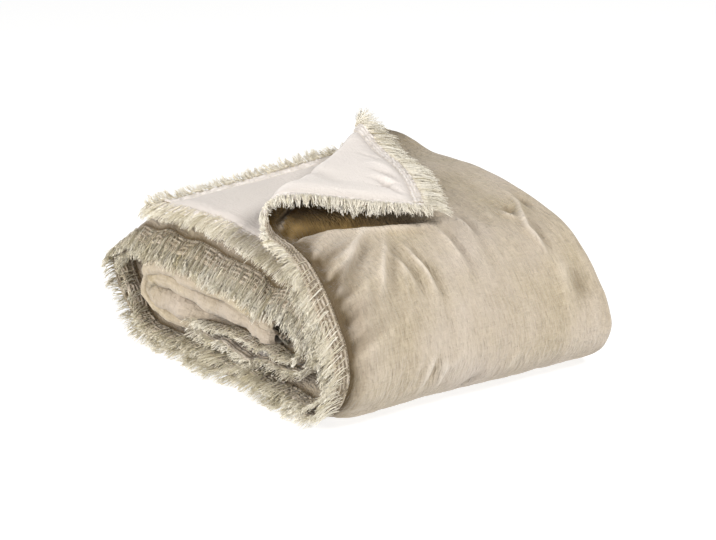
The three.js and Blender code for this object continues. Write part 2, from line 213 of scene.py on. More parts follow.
# The core's edges are tucked in between its two halves.
TUCK_SPREAD = 1690.0, 1790.0  # lengths between which this begins
TUCK_BREADTH = 44.0  # breadth of the cloth that is turned in
TUCK_ROUND = 6.0  # breadth of it for each radian of the turn
TUCK_OUT = 8.0  # how far the turn stands out
TUCK_DROP = 4.0  # half of its height
TUCK_PUSH = 38.0  # how far it is pushed out of the roll
TUCK_SAG = 14.0  # how far the lower half hangs into the hollow below
TUCK_SHADE = 0.17  # painted shade on the tucked cloth, as a share of a seam's

# Creases of the front: height (below 0 for a trough), breadth, and places (length, width) along it.
FRONT_CREASES = (
    # the fold below the turned corner's fringed side
    (6.0, 11.0, ((282, -358), (304, -308), (316, -256), (322, -166))),
    # the hollow behind it, under the corner, and the deep crease beside the curl
    (-14.0, 10.0, ((262, -372), (276, -338), (290, -304), (300, -262))),
    (-5.0, 9.0, ((300, -274), (306, -226), (308, -176))),
    (-12.0, 14.0, ((258, -404), (262, -378), (264, -340))),
    (-5.0, 5.0, ((262, -352), (268, -380), (272, -406))),
    # folds that fan out from it
    (5.6, 4.6, ((306, -310), (322, -338), (354, -374), (376, -392))),
    (-4.4, 7.0, ((318, -312), (340, -342), (366, -376))),
    (4.7, 4.0, ((318, -286), (368, -328), (404, -350))),
    (-2.7, 6.0, ((326, -276), (374, -316), (410, -338))),
    (5.4, 4.0, ((338, -276), (364, -277), (390, -273), (424, -272))),
    (-3.7, 5.0, ((342, -265), (366, -266), (392, -262), (418, -261))),
    (3.4, 4.0, ((344, -304), (384, -298), (418, -300))),
    (-2.4, 5.0, ((348, -294), (384, -289), (412, -290))),
    (3.4, 4.0, ((324, -208), (358, -208), (400, -207))),
    (-2.4, 6.0, ((330, -197), (362, -197), (396, -196))),
    # from the corner's tip
    (4.7, 4.0, ((318, -160), (354, -161))),
    (-3.4, 5.0, ((316, -151), (350, -151))),
    # a drawn-in tuft and its pull lines
    (-8.0, 9.0, ((316, -73), (331, -62))),
    (6.9, 4.0, ((278, -36), (314, -44), (344, -64), (366, -76), (390, -72), (412, -74))),
    (-5.1, 4.5, ((304, -31), (330, -31))),
    (4.9, 4.0, ((316, -86), (336, -82), (346, -73))),
    (-3.4, 5.0, ((352, -58), (378, -61), (402, -62))),
    # by the floor
    (4.4, 6.0, ((512, -316), (482, -302))),
    (-3.4, 5.0, ((510, -304), (484, -291))),
    (4.1, 6.0, ((514, -289), (486, -276))),
    (-5.4, 5.0, ((532, -238), (517, -206))),
    (3.7, 5.0, ((528, -226), (512, -198))),
    (3.4, 6.0, ((528, -184), (504, -158))),
    (3.2, 3.6, ((494, -328), (482, -320), (474, -308))),
    (3.2, 3.6, ((494, -312), (484, -304), (478, -294))),
    (3.6, 4.5, ((496, -294), (488, -282))),
    (3.6, 5.0, ((498, -276), (492, -258))),
    # beside the border
    (4.0, 4.0, ((324, -382), (318, -360), (310, -334))),
    (4.0, 4.0, ((338, -386), (334, -366), (324, -338))),
    (3.4, 4.0, ((354, -386), (342, -366))),
    (-4.0, 4.0, ((384, -388), (382, -374))),
    (-4.0, 4.0, ((400, -392), (396, -378))),
    (-4.0, 4.0, ((416, -394), (412, -380))),
    (-3.6, 4.0, ((428, -398), (428, -384))),
    (-3.6, 4.0, ((444, -400), (442, -388))),
    (3.0, 5.0, ((294, -403), (326, -384))),
    (-4.8, 5.0, ((320, -402), (340, -386))),
    (-4.8, 5.0, ((340, -403), (356, -390))),
    (2.6, 4.5, ((366, -402), (384, -384))),
    (-4.1, 5.0, ((402, -402), (428, -384))),
    # long faint lines
    (2.6, 4.5, ((366, -298), (390, -308), (414, -316))),
    (2.2, 4.5, ((352, -342), (374, -356), (398, -366))),
    (2.2, 5.0, ((264, -82), (310, -98), (354, -116))),
    # bands at the folded end
    (-4.4, 16.0, ((426, -44), (474, -41))),
    (3.7, 12.0, ((410, -56), (462, -64))),
)

# Creases of the reverse, on the turned corner.
REVERSE_CREASES = (
    (-4.0, 4.5, ((48, -196), (34, -216), (26, -234))),
    (3.2, 6.0, ((54, -238), (42, -262), (30, -286))),
    (-4.5, 5.0, ((60, -276), (44, -298), (30, -324))),
    (3.4, 5.5, ((64, -304), (48, -328), (32, -350))),
    (-4.0, 4.5, ((66, -354), (46, -338), (30, -346))),
    (-4.5, 5.0, ((68, -316), (52, -350), (36, -380))),
    (-2.4, 11.0, ((150, -226), (134, -285), (118, -350))),
)

CREASE_END = 0.25  # share of a crease's height that is left at both of its ends

# Soft waves of the cloth: height, and about half of their length and breadth.
LUMPS = 2.0, 95.0, 70.0  # of the filling
SOFT_STREAKS = 0.8, 120.0, 14.0  # round the roll
FINE_STREAKS = 0.7, 45.0, 7.0
STREAK_LEVEL = 0.5  # noise at which a fine streak is level with the cloth
STREAK_DRIFT = 0.12  # sideways drift of the streaks, for each millimetre of length
PLEATS = 2.2, 13.0, 70.0  # beside the inner half's edge
PLEAT_SPREAD = HALF_WIDTH - 130.0, HALF_WIDTH - 50.0  # widths between which they grow
REVERSE_LUMPS = 1.6, 70.0, 80.0
REVERSE_FINE = 0.5, 22.0, 30.0
REVERSE_GATHERS = 1.0, 9.0, 60.0  # beside the border, with the breadth first
REVERSE_GATHER_SPREAD = 20.0  # from the seam, over which they fade

# The fringe: threads in small clumps and larger locks.
THREAD_THICK = 1.0
THICK_LIMITS = 0.75, 1.25  # share of that, from thread to thread
THREAD_TAPER = 0.55  # share of it at a thread's tip
THREAD_RINGS = 7
TUBE_SIDES = 3
STEEP = 0.8  # upward share of a thread's direction past which its sides start from another axis
CLUMP = 3.6  # breadth of a clump at its root
LOCK = 17.0  # breadth of a lock of clumps
TO_MIDDLE = 0.3, 0.05  # how far a thread leans to the middle of its clump and its lock
LEAN_CURVE = 1.3  # power by which it leans over along its run
ROOT_DEPTH = 0.4  # share of the border's thickness through which the roots lie, both ways
ROOT_INSET = 1.0  # of the roots, from the edge
ROOT_PROBE = 2.0  # breadth of the border that gives the threads their direction
LAID_LEAST = 2.0  # how far in a thread that lies over the ribs starts at least
LAID_EASE = 4.0  # how far in such a thread lies fully above the ribs
WAVE_COUNT = 0.8, 2.0  # waves on one thread
WAVE_SWING = 0.3, 1.5
SINK_SHORT = 0.35  # share of its sinking by which a thread reaches less far
FLAP_SINK = 0.25  # sinking of the inner side's threads on the flap, as a share of their reach

# How much the threads differ: each by itself, from clump to clump, and from lock to lock.
REACH_SPREAD = 0.14, 0.1, 0.07  # as shares of the reach
REACH_LIMITS = 0.55, 1.25
LEAN_SPREAD = 1.6, 1.6, 2.4
RISE_SPREAD = 1.3, 1.5
TONE_SPREAD = 0.2, 0.16

FLOOR_GAP = 0.5  # left between the threads and the floor
FLOOR_DULLNESS = 0.2  # how much duller the threads by the floor are
FLOOR_SPREAD = 560.0, 640.0, 1180.0, 1260.0  # lengths where that begins, is full, and ends


def smooth(value, low, high):
    """0 below low, 1 above high, and an even rise between them."""
    t = np.clip((value - low) / (high - low), 0.0, 1.0)
    return t * t * (3.0 - 2.0 * t)


def between(value, start, full, waning, stop):
    """1 from full to waning, falling evenly to 0 at start and at stop."""
    return smooth(value, start, full) * (1.0 - smooth(value, waning, stop))


def mix(a, b, share):
    """From a at a share of 0 to b at a share of 1."""
    return a + (b - a) * share


def unit(vectors):
    """Vectors of the same directions, with a length of 1."""
    return vectors / np.maximum(np.linalg.norm(vectors, axis=-1, keepdims=True), 1e-9)


NOISE_CELLS = 128  # after which the noise repeats


def soft_noise(u, v, seed):
    """Smooth noise from -1 to 1, one cell for each unit of u and v."""
    cells = np.random.default_rng(seed).uniform(-1.0, 1.0, (NOISE_CELLS, NOISE_CELLS))
    u, v = np.broadcast_arrays(u, v)
    column = np.floor(u).astype(int)
    row = np.floor(v).astype(int)
    across = smooth(u - column, 0.0, 1.0)
    along = smooth(v - row, 0.0, 1.0)

    def corner(i, j):
        return cells[(column + i) % NOISE_CELLS, (row + j) % NOISE_CELLS]

    low = mix(corner(0, 0), corner(1, 0), across)
    high = mix(corner(0, 1), corner(1, 1), across)
    return mix(low, high, along)


def section_line():
    """The section as a smooth line through its rows, sampled closely."""
    rows = np.array(SECTION, float)
    pucker_shade = rows[:, :2]
    ends = np.vstack([2 * pucker_shade[0] - pucker_shade[1], pucker_shade, 2 * pucker_shade[-1] - pucker_shade[-2]])
    gaps = np.sqrt(np.linalg.norm(np.diff(ends, axis=0), axis=1))
    t = np.linspace(0.0, 1.0, SPAN_STEPS, endpoint=False)[:, None]
    spans = []
    for i in range(len(pucker_shade) - 1):
        before, start, stop, after = ends[i : i + 4]
        g0, g1, g2 = gaps[i : i + 3]
        leave = (start - before) / g0 - (stop - before) / (g0 + g1) + (stop - start) / g1
        arrive = (stop - start) / g1 - (after - start) / (g1 + g2) + (after - stop) / g2
        leave, arrive = leave * g1, arrive * g1
        square = 3 * (stop - start) - 2 * leave - arrive
        cube = 2 * (start - stop) + leave + arrive
        spans.append(start + t * leave + t**2 * square + t**3 * cube)
    points = np.vstack([*spans, pucker_shade[-1:]])
    place = np.concatenate([[0.0], np.cumsum(np.linalg.norm(np.diff(points, axis=0), axis=1))])
    tangent = unit(np.gradient(points, place, axis=0))
    row_place = place[::SPAN_STEPS]
    row = np.clip(np.searchsorted(row_place, place, side="right") - 1, 0, len(rows) - 2)
    share = smooth(place, row_place[row], row_place[row + 1])
    thickness = mix(rows[row, 2], rows[row + 1, 2], share)
    standing = mix(rows[row, 3], rows[row + 1, 3], share)
    return place, [*points.T, *tangent.T, thickness, standing]


LINE_PLACE, LINE_COLUMNS = section_line()


def layer_at(along):
    """The folded layer at a place along the section: y, z, tangent y and z, half thickness, out."""
    inside = np.clip(along, 0.0, LINE_PLACE[-1])
    y, z, tangent_y, tangent_z, half, out = (
        np.interp(inside, LINE_PLACE, column) for column in LINE_COLUMNS
    )
    beyond = along - inside
    return y + tangent_y * beyond, z + tangent_z * beyond, tangent_y, tangent_z, half, out


def half_thickness(length, width):
    """Half the thickness of the folded layer at a place of the cloth."""
    return layer_at(length + np.abs(width) * SKEW_SLOPE)[4]


def height_share(x, y):
    """How high the roll stands at a place, as a share of its section's height."""
    far = smooth((x - NEAR_X) / HALF_WIDTH, SAG_START, 1.0)
    rise = TOP_RISE * smooth(y, *TOP_SPREAD) + FLAP_RISE * smooth(y, *FLAP_SPREAD)
    front = FRONT_SAG * smooth(-y, *FRONT_SPREAD)
    return 1.0 + far * (rise - front - FAR_SAG)


def sheet_lift(inset, half):
    """How far one half's middle lies from the folded layer's middle."""
    share = np.sin(math.pi / 2 * np.clip((inset - FLANGE) / LIFT_RISE, 0.0, 1.0))
    return mix((FLANGE_THICK + LAYER_GAP) / 2 + RIB_HEIGHT, half / 2 + LAYER_GAP / 4, share)


def tuck(inset, half, side):
    """How far a tucked edge comes inwards, and towards the other half."""
    past = np.maximum(TUCK_BREADTH - inset, 0.0)
    turn = np.minimum(past / TUCK_ROUND, math.pi)
    beyond = np.maximum(past - math.pi * TUCK_ROUND, 0.0)
    by_edge = 1.0 - smooth(inset, TUCK_BREADTH, EDGE_EASE)
    inwards = past + beyond - TUCK_OUT * np.sin(turn) - TUCK_PUSH * by_edge
    sag = np.where(side < 0, TUCK_SAG, 0.0)
    level = sheet_lift(np.maximum(inset, TUCK_BREADTH), half) + sag * by_edge
    closer = sheet_lift(inset, half) - level + (TUCK_DROP + sag / 2) * (1.0 - np.cos(turn))
    return inwards, closer


def rolled_point(length, width):
    """A point of the cloth's middle surface, before the corner is turned back."""
    length, width = np.broadcast_arrays(np.asarray(length, float), np.asarray(width, float))
    across = np.abs(width)
    inset = HALF_WIDTH - across
    side = np.where(width < 0, 1.0, -1.0)
    y, z, tangent_y, tangent_z, half, out = layer_at(length + across * SKEW_SLOPE)
    offset = half / 2 + LAYER_GAP / 4
    bend = math.pi / 2 * offset
    fold_x = NEAR_X - out + HALF_WIDTH - bend
    turning = across < bend
    x = np.where(turning, fold_x + offset * np.cos(across / offset), fold_x - (across - bend))
    lift = np.where(turning, offset * np.sin(across / offset), sheet_lift(inset, half))
    near = smooth(across, HALF_WIDTH - EDGE_EASE, HALF_WIDTH)
    tucked = smooth(length, *TUCK_SPREAD)
    tuck_in, tuck_closer = tuck(inset, half, side)
    x = x + tucked * tuck_in
    lift = lift - tucked * tuck_closer
    crumple = CRUMPLE * smooth(length, *CRUMPLE_SPREAD)
    ragged = EDGE_RAGGED * soft_noise(length / EDGE_WANDER, side, seed=11)
    ragged = ragged + crumple * soft_noise(length / CRUMPLE_LENGTH, side, seed=13)
    swing = EDGE_SWING * soft_noise(length / EDGE_WANDER, SWING_ROW, seed=12)
    swing = swing + crumple * soft_noise(length / CRUMPLE_LENGTH, CRUMPLE_ROW, seed=14)
    out_more = EDGE_BELLY * between(length, *BELLY_SPREAD) + CORE_OUT * smooth(length, *CORE_SPREAD)
    x = x + near * (ragged - out_more)
    shoulder = near * between(length, *SHOULDER_SPREAD)
    lift = lift + near * swing * side
    hanging = np.maximum(1.0 - inset / EDGE_BEND, 0.0) ** 2 * np.clip(-tangent_y, 0.0, 1.0)
    start = np.where(width < 0, -EDGE_STAND, FLAP_HANG)
    standing = mix(start, 1.0, smooth(length, *STAND_SPREAD))
    y = y + tangent_z * side * lift + EDGE_SHOULDER[0] * shoulder
    z = (z - tangent_y * side * lift) * height_share(x, y) - EDGE_DROOP * hanging * standing
    z = z + EDGE_SHOULDER[1] * shoulder
    return np.stack([x, y + ROLL_Y, z], axis=-1)


PROBE = 0.5  # half the distance over which a slope is taken


def normal_of(surface, length, width):
    """The unit normal of a surface, on the cloth's right side."""
    along = surface(length + PROBE, width) - surface(length - PROBE, width)
    across = surface(length, width + PROBE) - surface(length, width - PROBE)
    return unit(np.cross(along, across))


def past_crease(length, width):
    """How far a point of the cloth lies past the crease, towards the corner."""
    share = length / CREASE_ON_SIDE + (width + HALF_WIDTH) / CREASE_ON_END
    return np.where(width < 0, (1.0 - share) * CREASE_REACH, -1.0)


def under_corner(length, width):
    """1 where the turned-back corner covers the cloth, falling to 0 at the corner's outline."""
    past = past_crease(length, width)
    mirrored_length = length + 2 * past * TO_LENGTH
    mirrored_width = width + 2 * past * TO_WIDTH
    inside = np.minimum(mirrored_length, mirrored_width + HALF_WIDTH)
    return np.where((past < 0) & (width < 0), smooth(inside, *COVERED_EASE), 0.0)


def cloth_point(length, width):
    """A point of the cloth's middle surface, with the corner turned back over the layer below."""
    length, width = np.broadcast_arrays(np.asarray(length, float), np.asarray(width, float))
    past = np.maximum(past_crease(length, width), 0.0)
    pulled = smooth(past, TIP_PULL_START * CREASE_REACH, CREASE_REACH)
    length = length + TIP_PULL * pulled
    past = np.maximum(past_crease(length, width), 0.0)
    foot_length = length + TO_LENGTH * past
    foot_width = width + TO_WIDTH * past
    base = rolled_point(foot_length, foot_width)
    up = normal_of(rolled_point, foot_length, foot_width)
    step = TO_LENGTH * PROBE, TO_WIDTH * PROBE
    away = unit(
        rolled_point(foot_length + step[0], foot_width + step[1])
        - rolled_point(foot_length - step[0], foot_width - step[1])
    )
    along = (foot_width + HALF_WIDTH) / CREASE_ON_END
    radius = mix(CREASE_RADIUS, CREASE_LOOSE, np.minimum((2 * along - 1) ** 2, 1.0))
    radius = radius + CURL * (1.0 - smooth(along, 0.0, CURL_END))
    turn = np.minimum(past / radius, math.pi)
    back = past - radius * turn
    settled = mix(2 * radius, LAID_HEIGHT, smooth(back, 0.0, SETTLING))
    hang = TIP_HANG * (back / CREASE_REACH) ** 2
    height = np.where(turn < math.pi, radius * (1 - np.cos(turn)), settled - hang)
    from_side = np.maximum(width + HALF_WIDTH, 0.0)
    raised = smooth(past, 0.0, math.pi * CREASE_LOOSE)
    raised = raised * (1 - smooth(past, CORNER_LIFT_END, CREASE_REACH))
    height = height + CORNER_LIFT * raised * np.exp(-from_side / CORNER_LIFT_EASE)
    return base + away * (back - radius * np.sin(turn))[..., None] + up * height[..., None]


def edge_inset(length, width):
    """The distance to the nearest fringed edge."""
    return np.minimum(HALF_WIDTH - np.abs(width), length)


def pad_thickness(length, width):
    """The padding's thickness: full inside, less where the roll is lower, thin at the edges."""
    half = half_thickness(length, width)
    place = rolled_point(length, width)
    pressed = np.minimum(height_share(place[..., 0], place[..., 1] - ROLL_Y), 1.0)
    full = (half - LAYER_GAP / 2) * pressed
    inset = np.minimum(edge_inset(length, width), LENGTH - length + FLANGE)
    left = 1.0 - np.clip((inset - FLANGE + JOIN_BREADTH) / PAD_RISE, 0.0, 1.0)
    return mix(JOIN_THIN * FLANGE_THICK, full, np.sqrt(1.0 - left**2))


def creased(length, width, creases):
    """The height of listed creases, each fading at both of its ends."""
    total = np.zeros_like(length)
    for height, breadth, places in creases:
        line = np.array(places, float)
        nearest = np.full(length.shape, np.inf)
        run = np.zeros_like(length)
        for i, (start, stop) in enumerate(zip(line[:-1], line[1:])):
            way = stop - start
            t = ((length - start[0]) * way[0] + (width - start[1]) * way[1]) / (way @ way)
            t = np.clip(t, 0.0, 1.0)
            distance = np.hypot(length - start[0] - t * way[0], width - start[1] - t * way[1])
            run = np.where(distance < nearest, (i + t) / (len(line) - 1), run)
            nearest = np.minimum(distance, nearest)
        fade = mix(CREASE_END, 1.0, np.sin(math.pi * run))
        total += height * fade * np.exp(-((nearest / breadth) ** 2))
    return total


def ridge_and_crease_shading(height):
    """How pale the painted highlight along a ridge's top is, and how dark the painted shade in a trough
    is.
    """
    return (np.maximum(height, 0.0) / RIDGE_HIGHLIGHT_HEIGHT) ** 2 + np.minimum(height, 0.0) / CREASE_SHADE_DEPTH


def beside_border(inset, spread):
    """1 on the border, fading over a spread inside its seam."""
    return np.exp(-np.maximum(inset - FLANGE, 0.0) / spread)


def gather(length, width):
    """The gathers that the stitches draw in beside the border, from -1 to 1."""
    inset = edge_inset(length, width)
    along = np.where(inset < length, length, width)
    return soft_noise((along + GATHER_SLANT * inset) / GATHER_PITCH, inset / GATHER_LENGTH, seed=24)


def soft_waves(along, across, size, seed):
    """Waves of a height, a length and a breadth."""
    height, long, broad = size
    return height * soft_noise(along / long, across / broad, seed)


def front_streaks(length, width):
    """Soft and fine streaks round the roll."""
    drift = width + STREAK_DRIFT * length
    height, long, broad = FINE_STREAKS
    fine = height * (STREAK_LEVEL - np.abs(soft_noise(length / long, drift / broad, seed=23)))
    return soft_waves(length, drift, SOFT_STREAKS, seed=22) + fine


def front_relief(length, width):
    """Lumps of the filling, streaks round the roll, gathers beside the border and creases."""
    inset = edge_inset(length, width)
    lumps = soft_waves(length, width, LUMPS, seed=21)
    streaks = front_streaks(length, width)
    gathers = GATHER_HEIGHT * gather(length, width) * beside_border(inset, GATHER_SPREAD)
    pleats = soft_waves(length, width, PLEATS, seed=25) * smooth(width, *PLEAT_SPREAD)
    total = lumps + streaks + gathers + pleats + creased(length, width, FRONT_CREASES)
    return total * smooth(inset, *RELIEF_SPREAD)


def back_relief(length, width):
    """The softer lumps, gathers and creases of the reverse."""
    inset = edge_inset(length, width)
    lumps = soft_waves(length, width, REVERSE_LUMPS, seed=31)
    fine = soft_waves(length, width, REVERSE_FINE, seed=32)
    gathers = soft_waves(width, length, REVERSE_GATHERS, seed=33)
    gathers = gathers * beside_border(inset, REVERSE_GATHER_SPREAD)
    total = lumps + fine + gathers + creased(length, width, REVERSE_CREASES)
    return total * smooth(inset, *RELIEF_SPREAD)


def faces_of(length, width, front_height, back_height):
    """Front and back points of the cloth, each so far from its middle surface, above the floor."""
    middle = cloth_point(length, width)
    normal = normal_of(cloth_point, length, width)
    front = middle + normal * np.asarray(front_height)[..., None]
    back = middle - normal * np.asarray(back_height)[..., None]
    for points in (front, back):
        points[..., 2] = np.maximum(points[..., 2], 0.0)
    return front, back


# Meshes.
def add_object(name, data):
    """A new object in the scene."""
    made = bpy.data.objects.new(name, data)
    bpy.context.collection.objects.link(made)
    return made


def quads_of(index):
    """The quads of a grid of vertex numbers, facing the cloth's right side."""
    corners = (index[:-1, :-1], index[1:, :-1], index[1:, 1:], index[:-1, 1:])
    return np.stack([c.ravel() for c in corners], axis=1).tolist()


def thick_sheet(front, back, polygons, rim):
    """A closed solid from front and back points: vertices, polygons and which are the reverse."""
    count = len(front)
    onward = np.roll(rim, -1)
    walls = np.stack([rim, onward, onward + count, rim + count], axis=1).tolist()
    reverse = [[vertex + count for vertex in polygon[::-1]] for polygon in polygons]
    is_reverse = np.zeros(2 * len(polygons) + len(walls), np.int32)
    is_reverse[len(polygons) : 2 * len(polygons)] = 1
    return np.concatenate([front, back]), polygons + reverse + walls, is_reverse


def make_mesh(name, points, polygons, materials):
    """A smooth-shaded object from arrays, in millimetres, placed in metres."""
    mesh = bpy.data.meshes.new(name)
    mesh.from_pydata((np.asarray(points) * MM).tolist(), [], polygons)
    for material in materials:
        mesh.materials.append(material)
    mesh.shade_smooth()
    return add_object(name, mesh)


def store(piece, name, kind, values):
    """A named value at each vertex, for the materials."""
    made = piece.data.attributes.new(name, kind, "POINT")
    channel = "vector" if kind == "FLOAT_VECTOR" else "value"
    made.data.foreach_set(channel, np.asarray(values, np.float32).ravel())


def make_cloth(name, length, width, faces, polygons, rim, seam, materials):
    """A piece of the cloth: front and reverse in their own materials, its places and the painted shade
    at its seams, creases and hollows stored.
    """
    front, back = (points.reshape(-1, 3) for points in faces)
    points, polygons, is_reverse = thick_sheet(front, back, polygons, rim)
    piece = make_mesh(name, points, polygons, materials)
    piece.data.polygons.foreach_set("material_index", is_reverse)
    places = np.stack([width.ravel(), length.ravel(), np.zeros(length.size)], axis=-1) * MM
    store(piece, "cloth_place", "FLOAT_VECTOR", np.tile(places, (2, 1)))
    store(piece, "seam", "FLOAT", seam)
    return piece


def steps(*stretches):
    """Places along a line from stretches of (start, stop, step)."""
    parts = [np.arange(start, stop - step / 2, step) for start, stop, step in stretches]
    return np.concatenate([*parts, [stretches[-1][1]]])


# The padded body: a fine grid on the outer wind, and fewer columns further inside the roll.
# A stretch of its rows or columns is given by its start, its stop and its step.
OUTER_WIND = 640.0  # length of the outer wind
SHOWN_END = 55.0  # breadth by the open end that keeps all its columns
FOLD_END = 20.0  # the same on both sides of the middle fold
COLUMN_SHARE = 4  # of the others, one in so many goes on
BODY_START = FLANGE - 3.0  # from the edge, a little way under the border
OUTER_ROWS = (BODY_START, 280.0, 4.2), (280.0, 440.0, 2.0), (440.0, OUTER_WIND, 3.8)
INNER_STEP = 10.0
COLUMNS = (
    (BODY_START - HALF_WIDTH, -180.0, 2.3),
    (-180.0, -FOLD_END, 3.6),
    (-FOLD_END, FOLD_END, 4.0),
    (FOLD_END, HALF_WIDTH - SHOWN_END, 12.0),
    (HALF_WIDTH - SHOWN_END, HALF_WIDTH - BODY_START, 4.0),
)


def body_grid():
    """Length and width of the body's vertices, the polygons between them, and its rim."""
    outer_lengths = steps(*OUTER_ROWS)
    inner_lengths = steps((OUTER_WIND + INNER_STEP, LENGTH, INNER_STEP))
    widths = steps(*COLUMNS)
    column = np.arange(len(widths))
    from_fold = np.abs(widths)
    shown = (from_fold > HALF_WIDTH - SHOWN_END) | (from_fold < FOLD_END)
    kept = column[shown | (column % COLUMN_SHARE == 0)]
    many = np.arange(len(outer_lengths) * len(widths)).reshape(-1, len(widths))
    few = many.size + np.arange(len(inner_lengths) * len(kept)).reshape(-1, len(kept))
    polygons = quads_of(many) + quads_of(few)
    for k, (left, right) in enumerate(zip(kept[:-1], kept[1:])):
        joined = many[-1, left : right + 1].tolist()
        polygons.append([joined[0], int(few[0, k]), int(few[0, k + 1]), *joined[:0:-1]])
    first = np.concatenate([many[:, 0], few[:, 0]])
    last = np.concatenate([many[:, -1], few[:, -1]])
    rim = np.concatenate([many[0, :-1], last[:-1], few[-1, :0:-1], first[:0:-1]])
    outer = np.meshgrid(outer_lengths, widths, indexing="ij")
    inner = np.meshgrid(inner_lengths, widths[kept], indexing="ij")
    length, width = (np.concatenate([a.ravel(), b.ravel()]) for a, b in zip(outer, inner))
    return length, width, polygons, rim


def body_painted_shade(length, width):
    """The body's painted shade on both faces: at its seam, gathers, deep creases and tucked core, and on
    the flap's reverse.
    """
    inset = edge_inset(length, width)
    groove = beside_border(inset, SEAM_SPREAD)
    drawn_in = PINCH_SHADE - PINCH_SHADE * gather(length, width)
    pinched = beside_border(inset, GATHER_SPREAD) * drawn_in
    pinched = pinched * (1.0 - smooth(length, *PINCH_SPREAD))
    trough = -creased(length, width, FRONT_CREASES) / TROUGH_SHADE_DEPTH - TROUGH_START
    front = np.clip(np.maximum(groove + pinched, trough), 0.0, 1.0)
    front = np.maximum(front, TUCK_SHADE * smooth(length, *TUCK_SPREAD))
    on_flap = smooth(width, 0.0, FLAP_EASE) * (1.0 - smooth(length, CREASE_ON_SIDE, FLAP_LENGTH))
    return np.concatenate([front, np.maximum(groove, FLAP_SHADE * on_flap)])


def make_body(materials):
    """The padded cloth inside its borders, with its painted shade, painted highlights and painted shade
    tint stored.
    """
    length, width, polygons, rim = body_grid()
    thick = pad_thickness(length, width) / 2
    reverse = thick + back_relief(length, width)
    lift = sheet_lift(HALF_WIDTH - np.abs(width), half_thickness(length, width))
    past = past_crease(length, width)
    reverse = np.where(past > 0, reverse, np.minimum(reverse, lift))
    faces = faces_of(length, width, thick + front_relief(length, width), reverse)
    seam = body_painted_shade(length, width)
    body = make_cloth("comforter_body", length, width, faces, polygons, rim, seam, materials)
    # Painted shade: a tint on the cloth in the hollow under the turned corner and on the corner's own
    # underside.
    hollow = under_corner(length, width) * (1.0 - smooth(width, *COVERED_SPREAD))
    hollow_shade = np.maximum(hollow, smooth(past, 0.0, TURNED_EASE))
    store(body, "hollow_shade", "FLOAT", np.concatenate([hollow_shade, np.zeros_like(hollow_shade)]))
    # Painted highlights along the tops of crease ridges and raised streaks, and painted shade in creases
    # and sunken streaks.
    front_shading = ridge_and_crease_shading(creased(length, width, FRONT_CREASES))
    front_shading = front_shading + front_streaks(length, width) / CREASE_SHADE_DEPTH
    back_shading = REVERSE_RELIEF_SHADING * ridge_and_crease_shading(creased(length, width, REVERSE_CREASES))
    store(body, "relief_shading_and_flecks", "FLOAT", np.clip(np.concatenate([front_shading, back_shading]), -1.0, 1.0))
    return body


# The fringed edges: the cloth's length and width at a place along each, so far past it.
def outer_edge(place, past):
    return place, -HALF_WIDTH - past


def inner_edge(place, past):
    return place, HALF_WIDTH + past


def free_edge(place, past):
    return -past, place


CREASE_WIDTH = CREASE_ON_END - HALF_WIDTH

# The fringes: first and last place, edge, reach, the share of it by which a thread sinks, tone,
# from 0 for dark to 1 for light, and threads per millimetre.
EDGES = {
    "fringe_outer_side": (CREASE_ON_SIDE, LENGTH, outer_edge, 24.0, 0.25, 0.62, 2.5),
    "fringe_corner_side": (0.0, CREASE_ON_SIDE, outer_edge, 15.0, 0.45, 1.0, 3.8),
    "fringe_inner_side": (LENGTH, 0.0, inner_edge, 21.0, 0.3, 0.62, 2.4),
    "fringe_free_end": (HALF_WIDTH, CREASE_WIDTH, free_edge, 14.0, -0.3, 0.72, 2.5),
    "fringe_corner_end": (CREASE_WIDTH, -HALF_WIDTH, free_edge, 27.0, 0.2, 0.8, 2.5),
}

# The share of its reach that a fringe shows: less where it is tucked in further inside the roll.
SHOWN_FRINGE = {
    "fringe_outer_side": (
        *((300, 0.8), (400, 0.62), (500, 0.66), (580, 0.9), (660, 0.75), (960, 0.75), (1060, 0.65)),
        *((1180, 0.9), (1400, 0.9), (1480, 0.55), (1600, 0.35), (1780, 0.4), (1860, 0.2)),
    ),
    "fringe_corner_side": ((0, 0.6), (50, 0.65), (100, 1.0), (160, 0.9), (215, 0.55), (266, 0.6)),
    "fringe_inner_side": (
        *((280, 0.9), (340, 0.85), (535, 0.75), (900, 0.7), (950, 0.3), (1050, 0.3), (1110, 0.7)),
        *((1400, 0.5), (1560, 0.3), (1780, 0.3), (1860, 0.2)),
    ),
}
WHOLE_FRINGE = ((0, 1.0),)

# Threads that start further in and lie over the ribs: how far in, and their share by place along
# the edge, below 0 where they lie on the reverse.
OVER_RIBS = {
    "fringe_outer_side": (18.0, ((310, 0.0), (360, 0.22), (560, 0.22), (720, 0.4))),
    "fringe_corner_side": (9.0, ((0, -0.85),)),
    "fringe_inner_side": (19.0, ((330, -0.6), (420, 0.0), (560, 0.0), (640, 0.35))),
    "fringe_free_end": (7.0, ((0, -0.6),)),
    "fringe_corner_end": (8.0, ((0, -0.6),)),
}


def notched(place, inset):
    """1 where the stitches draw in a notch across the ribs, 0 between the notches."""
    return smooth(soft_noise(place / NOTCH_PITCH, inset / NOTCH_SLANT, seed=43), *NOTCH_SPREAD)


def rib_height(place, inset):
    """The puckered ribs between the rows of stitches."""
    gap = STITCH_ROWS[1] - STITCH_ROWS[0]
    rib = (inset - STITCH_ROWS[0]) / gap
    number = np.floor(rib)
    arch = 1.0 - (2.0 * (rib - number) - 1.0) ** 2
    inside = (inset > STITCH_ROWS[0]) & (inset < STITCH_ROWS[-1])
    swell = RIB_SWELL[0] + RIB_SWELL[1] * soft_noise(place / PUCKER, number, seed=41)
    left = 1.0 - NOTCH_DEPTH * notched(place, inset)
    return np.where(inside, RIB_HEIGHT * arch * swell * left, 0.0)


